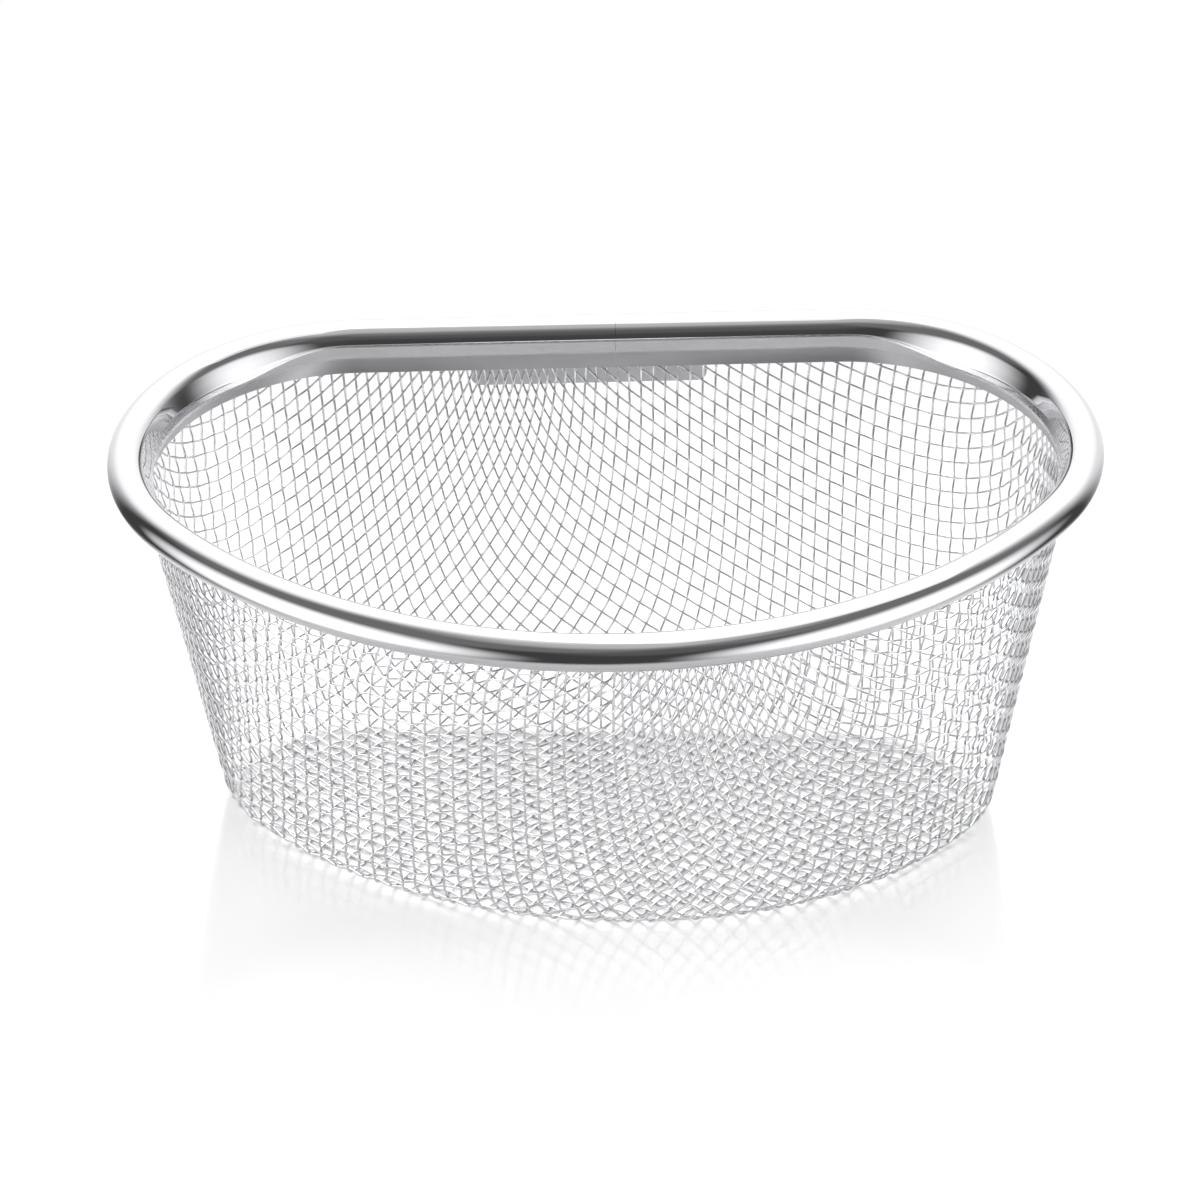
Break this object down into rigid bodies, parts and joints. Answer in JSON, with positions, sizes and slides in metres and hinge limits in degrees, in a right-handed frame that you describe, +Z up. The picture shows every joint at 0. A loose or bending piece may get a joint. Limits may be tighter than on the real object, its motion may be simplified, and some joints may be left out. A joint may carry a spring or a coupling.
{
  "type": "corner sink strainer basket",
  "caption": "D-shaped sink strainer basket: a tapered bowl of woven stainless wire in a rolled tubular rim, with a flat plate behind its straight back.",
  "frame": {"origin": "middle of the bounding box in plan, on the floor the bowl stands on", "axes": "+Z up; +Y towards the straight back; -Y towards the round front; +X to the right seen from the front"},
  "size_m": [0.2048, 0.1281, 0.0838],
  "materials": {
    "polished_strip": "stainless strip, mirror polished on the tube and satin on the skirt",
    "bright_wire": "bright drawn stainless wire",
    "dull_plate": "dull rolled stainless sheet"
  },
  "bodies": {
    "root": {"rolled_rim": "polished_strip", "mesh_bowl": "bright_wire", "back_plate": "dull_plate"}
  },
  "joints": []
}
